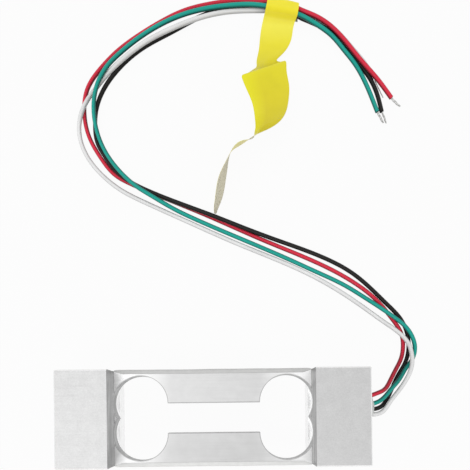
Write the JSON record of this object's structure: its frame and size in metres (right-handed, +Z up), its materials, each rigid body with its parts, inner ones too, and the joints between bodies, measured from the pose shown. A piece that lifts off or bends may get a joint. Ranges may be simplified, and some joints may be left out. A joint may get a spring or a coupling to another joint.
{
  "type": "single point load cell",
  "caption": "Milled aluminium bar load cell with a dog-bone cut-out, gauges under white silicone, and coloured leads tied with yellow tape.",
  "frame": {"origin": "middle of the bar's underside, as it lies on a table", "axes": "+X along the bar towards the leads, +Y across the bar in the direction of the load, +Z up from the table"},
  "size_m": [0.0856, 0.1174, 0.015],
  "materials": {
    "aluminium": "milled, clear anodised, satin",
    "gauge_film": "amber polyimide film",
    "gauge_foil": "etched constantan foil",
    "terminal_strip": "glass epoxy strip",
    "enamelled_lead": "enamelled copper wire",
    "shrink_sleeve": "shrunk sleeve",
    "tinned_strands": "tinned copper strands",
    "sealant": "white silicone, cured bead",
    "exit_sealant": "translucent pale silicone",
    "black_insulation": "smooth extruded insulation",
    "red_insulation": "smooth extruded insulation",
    "green_insulation": "smooth extruded insulation",
    "white_insulation": "smooth extruded insulation",
    "tape": "thin yellow adhesive film"
  },
  "bodies": {
    "root": {"elastic_body": "aluminium", "upper_left_gauge_film": "gauge_film", "upper_right_gauge_film": "gauge_film", "lower_left_gauge_film": "gauge_film", "lower_right_gauge_film": "gauge_film", "upper_left_gauge_foil": "gauge_foil", "upper_right_gauge_foil": "gauge_foil", "lower_left_gauge_foil": "gauge_foil", "lower_right_gauge_foil": "gauge_foil", "upper_terminal_strip": "terminal_strip", "lower_terminal_strip": "terminal_strip", "upper_left_gauge_lead_a": "enamelled_lead", "upper_left_gauge_lead_b": "enamelled_lead", "upper_right_gauge_lead_a": "enamelled_lead", "upper_right_gauge_lead_b": "enamelled_lead", "lower_left_gauge_lead_a": "enamelled_lead", "lower_left_gauge_lead_b": "enamelled_lead", "lower_right_gauge_lead_a": "enamelled_lead", "lower_right_gauge_lead_b": "enamelled_lead", "black_body_lead": "enamelled_lead", "red_body_lead": "enamelled_lead", "green_body_lead": "enamelled_lead", "white_body_lead": "enamelled_lead", "black_sleeve": "shrink_sleeve", "red_sleeve": "shrink_sleeve", "green_sleeve": "shrink_sleeve", "white_sleeve": "shrink_sleeve", "black_inner_strands": "tinned_strands", "red_inner_strands": "tinned_strands", "green_inner_strands": "tinned_strands", "white_inner_strands": "tinned_strands", "upper_sealant": "sealant", "lower_sealant": "sealant", "exit_sealant": "exit_sealant", "black_wire": "black_insulation", "red_wire": "red_insulation", "green_wire": "green_insulation", "white_wire": "white_insulation", "black_strands": "tinned_strands", "red_strands": "tinned_strands", "green_strands": "tinned_strands", "white_strands": "tinned_strands", "marking_tape": "tape"}
  },
  "joints": []
}
